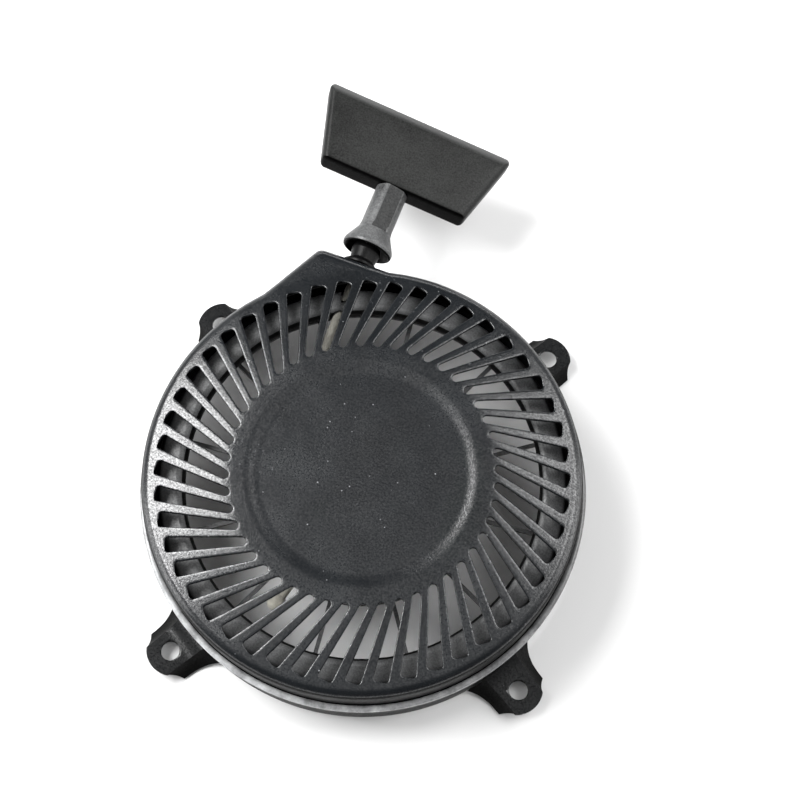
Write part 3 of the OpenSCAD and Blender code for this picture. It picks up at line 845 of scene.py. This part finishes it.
def build_eyelet():
    """Tapered guide with a collar behind the wall and a waist outside it."""
    y = WALL_Y
    profile = rounded([
        (4.0, y - 4.2, 0.5), (6.8, y - 4.2, 0.5), (6.8, y, 0), (8.5, y + 0.02, 0.2), (8.6, y + 1.2, 0.5),
        (7.9, y + 1.9, 0.6), (6.0, y + 3.3, 1.0), (7.0, y + 8.6, 1.2), (6.4, y + 11.0, 0.8),
        (4.6, y + 11.2, 0.8), (3.1, y + 7.5, 2.0), (3.0, y + 0.5, 1.5)], 0.5, 4)
    turned_piece("eyelet_guide", profile, NYLON, "root", "rope_eyelet", 72)


STEM_R, STEM_FROM, STEM_STEP, STEM_ROWS = 7.75, 13.2, 0.7, 30
FLAT_AT, FLAT_HALF, FLAT_FROM = 291.5, 29.0, 10.3
NOTCH_AT, NOTCH_HALF, NOTCH_Y, NOTCH_DEPTH = 236.0, 9.0, GRIP_Y - 1.6, 1.6


def neck_radius(r, y, angle):
    """The neck's radius with the flat and the notch taken off its outer side."""
    if r <= STEM_R - 0.45:
        return r
    radius = r
    off = angle_between(angle, FLAT_AT)
    if off < FLAT_HALF:
        flat_r = STEM_R * math.cos(math.radians(FLAT_HALF)) / math.cos(math.radians(off))
        sunk = smoothstep((y - (NECK_Y + FLAT_FROM)) / 0.35)
        radius = r - (r - flat_r) * sunk
    near = max(angle_between(angle, NOTCH_AT) / NOTCH_HALF, abs(y - NOTCH_Y) / 1.3)
    return radius - NOTCH_DEPTH * smoothstep((1.15 - near) / 0.3)


def build_neck():
    """Flared hollow foot and stem, with a flat along the stem and a small notch beside the grip; the foot's
    inside and rim are painted black as shade.
    """
    y = NECK_Y
    stem = [(STEM_R, y + STEM_FROM + STEM_STEP * i, 0) for i in range(STEM_ROWS)]
    outline = rounded([
        (11.2, y + 0.05, 0.2), (11.9, y + 0.3, 0.5), (12.2, y + 1.5, 0.5), (12.0, y + 2.9, 0.7),
        (8.1, y + 10.4, 1.0)] + stem + [
        (2.7, stem[-1][1], 0.1), (2.7, y + 10, 1.5), (8.4, y + 4.5, 1.5)], 0.5, 4)
    steps = 120
    verts = []
    for r, along in outline:
        for k in range(steps):
            angle = 360 * k / steps
            verts.append((*polar(neck_radius(r, along, angle), angle), along))
    faces = grid_faces(len(outline), steps, closed_rows=True)
    neck = add_mesh("neck_sleeve", turned(verts, TO_ROPE_LINE), faces, NECK, 30)
    add_materials(neck, NYLON, NECK_FLAT)
    hollow, flat = 1, 2
    flat_x, flat_z = polar(1, FLAT_AT)
    flat_way = Vector((flat_x, 0, -flat_z))
    for face in neck.data.polygons:
        centre = face.center / MM
        along = centre.y - y
        if along > 10.4 and face.normal.dot(flat_way) > 0.985:
            face.material_index = flat
        # Painted shade: the inside of the hollow foot and its rim get the black nylon
        inside = math.hypot(centre.x - ROPE_X, centre.z - ROPE_Z) < 11.15 - along * 0.35
        if along < 0.9 or (along < 10 and inside):
            face.material_index = hollow
    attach(neck, "handle")
    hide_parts("grip_neck")


GRIP_FAR, GRIP_NEAR, GRIP_DEPTH, GRIP_T = 95.8, 73.8, 38.2, 15.0
GRIP_ROLL = 10.0
GRIP_EDGE, GRIP_CORNER, GRIP_CROWN = 3.6, 2.4, 0.3
# The near edge is nearly square; the far one is rounded over a longer way
NEAR_SHARE, FAR_EXTRA = 0.3, 3.0


def grip_loop(inset, corner, arc_steps=6, edge_steps=10):
    """Trapezium outline with rounded corners, moved inwards; always the same number of points."""
    slope = (GRIP_FAR - GRIP_NEAR) / 2 / GRIP_DEPTH
    lean = math.sqrt(1 + slope * slope)
    low, high = inset * NEAR_SHARE, GRIP_DEPTH - inset - FAR_EXTRA * min(1.0, inset / GRIP_EDGE)

    def half(y):
        return GRIP_NEAR / 2 + slope * y - inset * lean * 0.8

    corners = [Vector((side * half(y), y)) for side, y in ((-1, low), (1, low), (1, high), (-1, high))]
    radius = max(corner - inset, 0.25)
    points = []
    for i, c in enumerate(corners):
        before = corners[i - 1] - c
        after = corners[(i + 1) % 4] - c
        bisector = (before.normalized() + after.normalized()).normalized()
        half_angle = before.angle(after) / 2
        centre = c + bisector * (radius / math.sin(half_angle))
        start = c + before.normalized() * (radius / math.tan(half_angle)) - centre
        sweep = math.pi - 2 * half_angle
        for s in range(arc_steps + 1):
            a = sweep * s / arc_steps
            points.append(centre + Vector((start.x * math.cos(a) - start.y * math.sin(a),
                                           start.x * math.sin(a) + start.y * math.cos(a))))
        leave = c + after.normalized() * (radius / math.tan(half_angle))
        arrive_corner = corners[(i + 1) % 4]
        next_after = corners[(i + 2) % 4] - arrive_corner
        next_half = (-after).angle(next_after) / 2
        arrive = arrive_corner - after.normalized() * (radius / math.tan(next_half))
        for s in range(1, edge_steps):
            points.append(leave.lerp(arrive, s / edge_steps))
    return points


def build_grip():
    """The grip's bar, crowned and rounded, and the plug in its far face."""
    half_t = GRIP_T / 2 - GRIP_CROWN
    rings = []
    for i in range(9):
        a = math.radians(90 * i / 8)
        rings.append((GRIP_EDGE * (1 - math.cos(a)), half_t - GRIP_EDGE + GRIP_EDGE * math.sin(a)))
    rings += [(5.5, half_t + 0.1), (9, half_t + 0.2), (13, half_t + 0.27), (17.5, half_t + GRIP_CROWN)]
    loops = [(d, -z) for d, z in reversed(rings)] + rings
    outlines = [grip_loop(inset, GRIP_CORNER) for inset, _ in loops]
    verts = [(p.x, p.y, z) for outline, (_, z) in zip(outlines, loops) for p in outline]
    count = len(outlines[0])
    faces = grid_faces(len(loops), count) + end_caps(len(loops), count)
    place = Matrix.Translation((ROPE_X, GRIP_Y, ROPE_Z)) @ Matrix.Rotation(math.radians(GRIP_ROLL), 4, "Y")
    grip = add_mesh("grip_body", turned(verts, place), faces, GRIP, 50)
    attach(grip, "handle")
    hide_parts("pull_grip")
    top = GRIP_Y + GRIP_DEPTH
    plug = rounded([(0, top - 2, 0), (3.6, top - 2, 0), (3.6, top + 0.1, 0.15), (2.6, top + 0.25, 0.2),
                    (1.2, top - 0.1, 0.3), (0, top - 0.1, 0)], 0.2, 3)
    turned_piece("grip_plug", plug, GRIP, "handle", "grip_cap", 36)


build_eyelet()
build_neck()
build_grip()


# ---------------------------------------------------------------- rope

PULL = 835.7                                # the handle's full travel
PULL_START, PULL_END = WALL_Y + 5.0, GRIP_Y + 4.0
ROPE_FROM = 25.0                            # where the straight run leaves the pulley
STRANDS, STRAND_TURNS, STRAND_RELIEF = 8, 0.06, 0.16


def braided_rope(name, path, material, body):
    """A rope along a path of points in mm, with two sets of crossing strands on its surface."""
    sides = 32
    verts = []
    travelled = 0.0
    for i, p in enumerate(path):
        if i:
            travelled += (p - path[i - 1]).length
        ahead = path[min(i + 1, len(path) - 1)] - path[max(i - 1, 0)]
        ahead.normalize()
        side = Vector((ahead.y, -ahead.x, 0)).normalized()
        up = side.cross(ahead)
        twist = TAU * STRAND_TURNS * travelled
        for k in range(sides):
            a = TAU * k / sides
            crest = max(math.cos(STRANDS / 2 * (a + twist)), math.cos(STRANDS / 2 * (a - twist)))
            r = ROPE_R - STRAND_RELIEF + STRAND_RELIEF * crest
            verts.append(tuple(p + side * (r * math.cos(a)) + up * (r * math.sin(a))))
    faces = grid_faces(len(path), sides) + end_caps(len(path), sides)
    rope = add_mesh(name, verts, faces, material, 70)
    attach(rope, body)


def pulled_to(y):
    """Where a point of the paid-out stretch is once the handle is fully pulled."""
    return y + smoothstep((y - PULL_START) / (PULL_END - PULL_START)) * PULL


def build_ropes():
    """The stretch from the pulley to the eyelet, and the stretch that pays out with the handle."""
    steps = 110
    inner_end = PULL_START + 1
    path = [Vector((ROPE_X, ROPE_FROM + (inner_end - ROPE_FROM) * i / steps, ROPE_Z))
            for i in range(steps + 1)]
    # The stretch inside the housing gets the darker rope copy of painted shade
    braided_rope("rope_inside", path, ROPE_SHADED, "root")

    # Rows that stand evenly once pulled are bunched inside the neck at rest
    rows, sides = 301, 16
    radius = ROPE_R - 0.05
    verts = []
    for i in range(rows):
        pulled = PULL_START + (PULL_END + PULL - PULL_START) * i / (rows - 1)
        p = Vector((ROPE_X, where_reached(pulled_to, pulled, PULL_START, PULL_END), ROPE_Z))
        for k in range(sides):
            a = TAU * k / sides
            verts.append((p.x + radius * math.cos(a), p.y, p.z + radius * math.sin(a)))
    faces = grid_faces(rows, sides) + end_caps(rows, sides)
    payout = add_mesh("rope_payout", verts, faces, ROPE, 70, merge=0.00001)
    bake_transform(payout)
    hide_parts("rope_run")


build_ropes()


# ---------------------------------------------------------------- stage, light and camera

AZIMUTH, ELEVATION = math.radians(21.4), math.radians(72.6)
RIGHT = Vector((math.cos(AZIMUTH), math.sin(AZIMUTH), 0))
FORWARD = Vector((-math.sin(AZIMUTH), math.cos(AZIMUTH), 0))
BACK = Vector((math.sin(AZIMUTH) * math.cos(ELEVATION), -math.cos(AZIMUTH) * math.cos(ELEVATION),
               math.sin(ELEVATION)))
UP = BACK.cross(RIGHT)
LENS = 68.96
CAMERA_RIGHT, CAMERA_UP, CAMERA_BACK = 16.9, 49.1, 732
CAMERA_DROP = Vector((0, 0, -0.0024))
DIM_TILT = math.radians(42)


def build_floor():
    """A flat sheet just under the skirts of the ears."""
    low, half = -SKIRT_DROP - 0.05, 3000.0
    verts = [(-half, -half, low), (half, -half, low), (half, half, low), (-half, half, low)]
    floor = add_mesh("floor", verts, [(0, 1, 2, 3)], floor_paper("floor_paper"))


def build_camera():
    camera = bpy.data.cameras.new("photo_view")
    camera.sensor_width = 36
    camera.lens = LENS
    camera.clip_start, camera.clip_end = 0.05, 20
    obj = bpy.data.objects.new("photo_view", camera)
    bpy.context.collection.objects.link(obj)
    place = (RIGHT * CAMERA_RIGHT + UP * CAMERA_UP + BACK * CAMERA_BACK) * MM + CAMERA_DROP
    axes = Matrix((RIGHT, UP, BACK)).transposed().to_4x4()
    obj.matrix_world = Matrix.Translation(place) @ axes
    bpy.context.scene.camera = obj


def from_view(right, forward, up):
    """A place given along the camera's own right, along the floor away from it, and up, in metres."""
    return RIGHT * right + FORWARD * forward + Vector((0, 0, up))


def soft_light(name, place, aim, size, power):
    """A white rectangular lamp at place that shines towards aim."""
    light = bpy.data.lights.new(name, "AREA")
    light.shape = "RECTANGLE"
    light.size, light.size_y = size
    light.energy = power
    obj = bpy.data.objects.new(name, light)
    bpy.context.collection.objects.link(obj)
    obj.location = place
    obj.rotation_euler = (Vector(aim) - Vector(place)).to_track_quat("-Z", "Y").to_euler()


def dimmed_towards(tree, way, bright, dark):
    """A grey that falls as the sky turns towards way; bright and dark are (cosine, value)."""
    facing = tree.nodes.new("ShaderNodeVectorMath")
    facing.operation = "DOT_PRODUCT"
    facing.inputs[1].default_value = way
    tree.links.new(tree.nodes.new("ShaderNodeTexCoord").outputs["Generated"], facing.inputs[0])
    ramp = tree.nodes.new("ShaderNodeValToRGB")
    for mark, (position, value) in zip(ramp.color_ramp.elements, (bright, dark)):
        mark.position = position
        mark.color = (value, value, value, 1)
    tree.links.new(facing.outputs["Value"], ramp.inputs["Fac"])
    return ramp.outputs["Color"]


def build_world():
    """A white tent that is dim in one patch beyond the far side and in front."""
    world = bpy.data.worlds.new("studio")
    world.use_nodes = True
    tree = world.node_tree
    patch_way = FORWARD * math.sin(DIM_TILT) + Vector((0, 0, math.cos(DIM_TILT)))
    both = tree.nodes.new("ShaderNodeMix")
    both.data_type = "RGBA"
    both.blend_type = "MULTIPLY"
    both.inputs[0].default_value = 1.0
    tree.links.new(dimmed_towards(tree, patch_way, (0.875, 1.0), (0.955, 0.08)), both.inputs[6])
    tree.links.new(dimmed_towards(tree, -FORWARD, (0.22, 1.0), (0.62, 0.12)), both.inputs[7])
    background = tree.nodes["Background"]
    tree.links.new(both.outputs[2], background.inputs["Color"])
    background.inputs["Strength"].default_value = 0.85
    bpy.context.scene.world = world


def build_lights():
    """Two soft boxes above, a wall on each side and a strip behind."""
    soft_light("left_box", from_view(-0.79, 0.34, 1.2), (0, 0, 0), (0.78, 0.66), 37)
    soft_light("right_box", from_view(0.79, 0.34, 1.2), (0, 0, 0), (0.78, 0.66), 13)
    soft_light("right_wall", from_view(1.3, 0.0, 0.45), (0, 0, 0.02), (0.8, 1.0), 9)
    soft_light("left_wall", from_view(-1.3, -0.2, 0.45), (0, 0, 0.02), (0.8, 1.0), 12)
    soft_light("back_strip", from_view(0.1, 1.5, 0.5), (0, 0.1, 0.03), (1.6, 0.16), 5)
    bpy.context.scene.view_settings.view_transform = "Standard"


build_floor()
build_camera()
build_world()
build_lights()
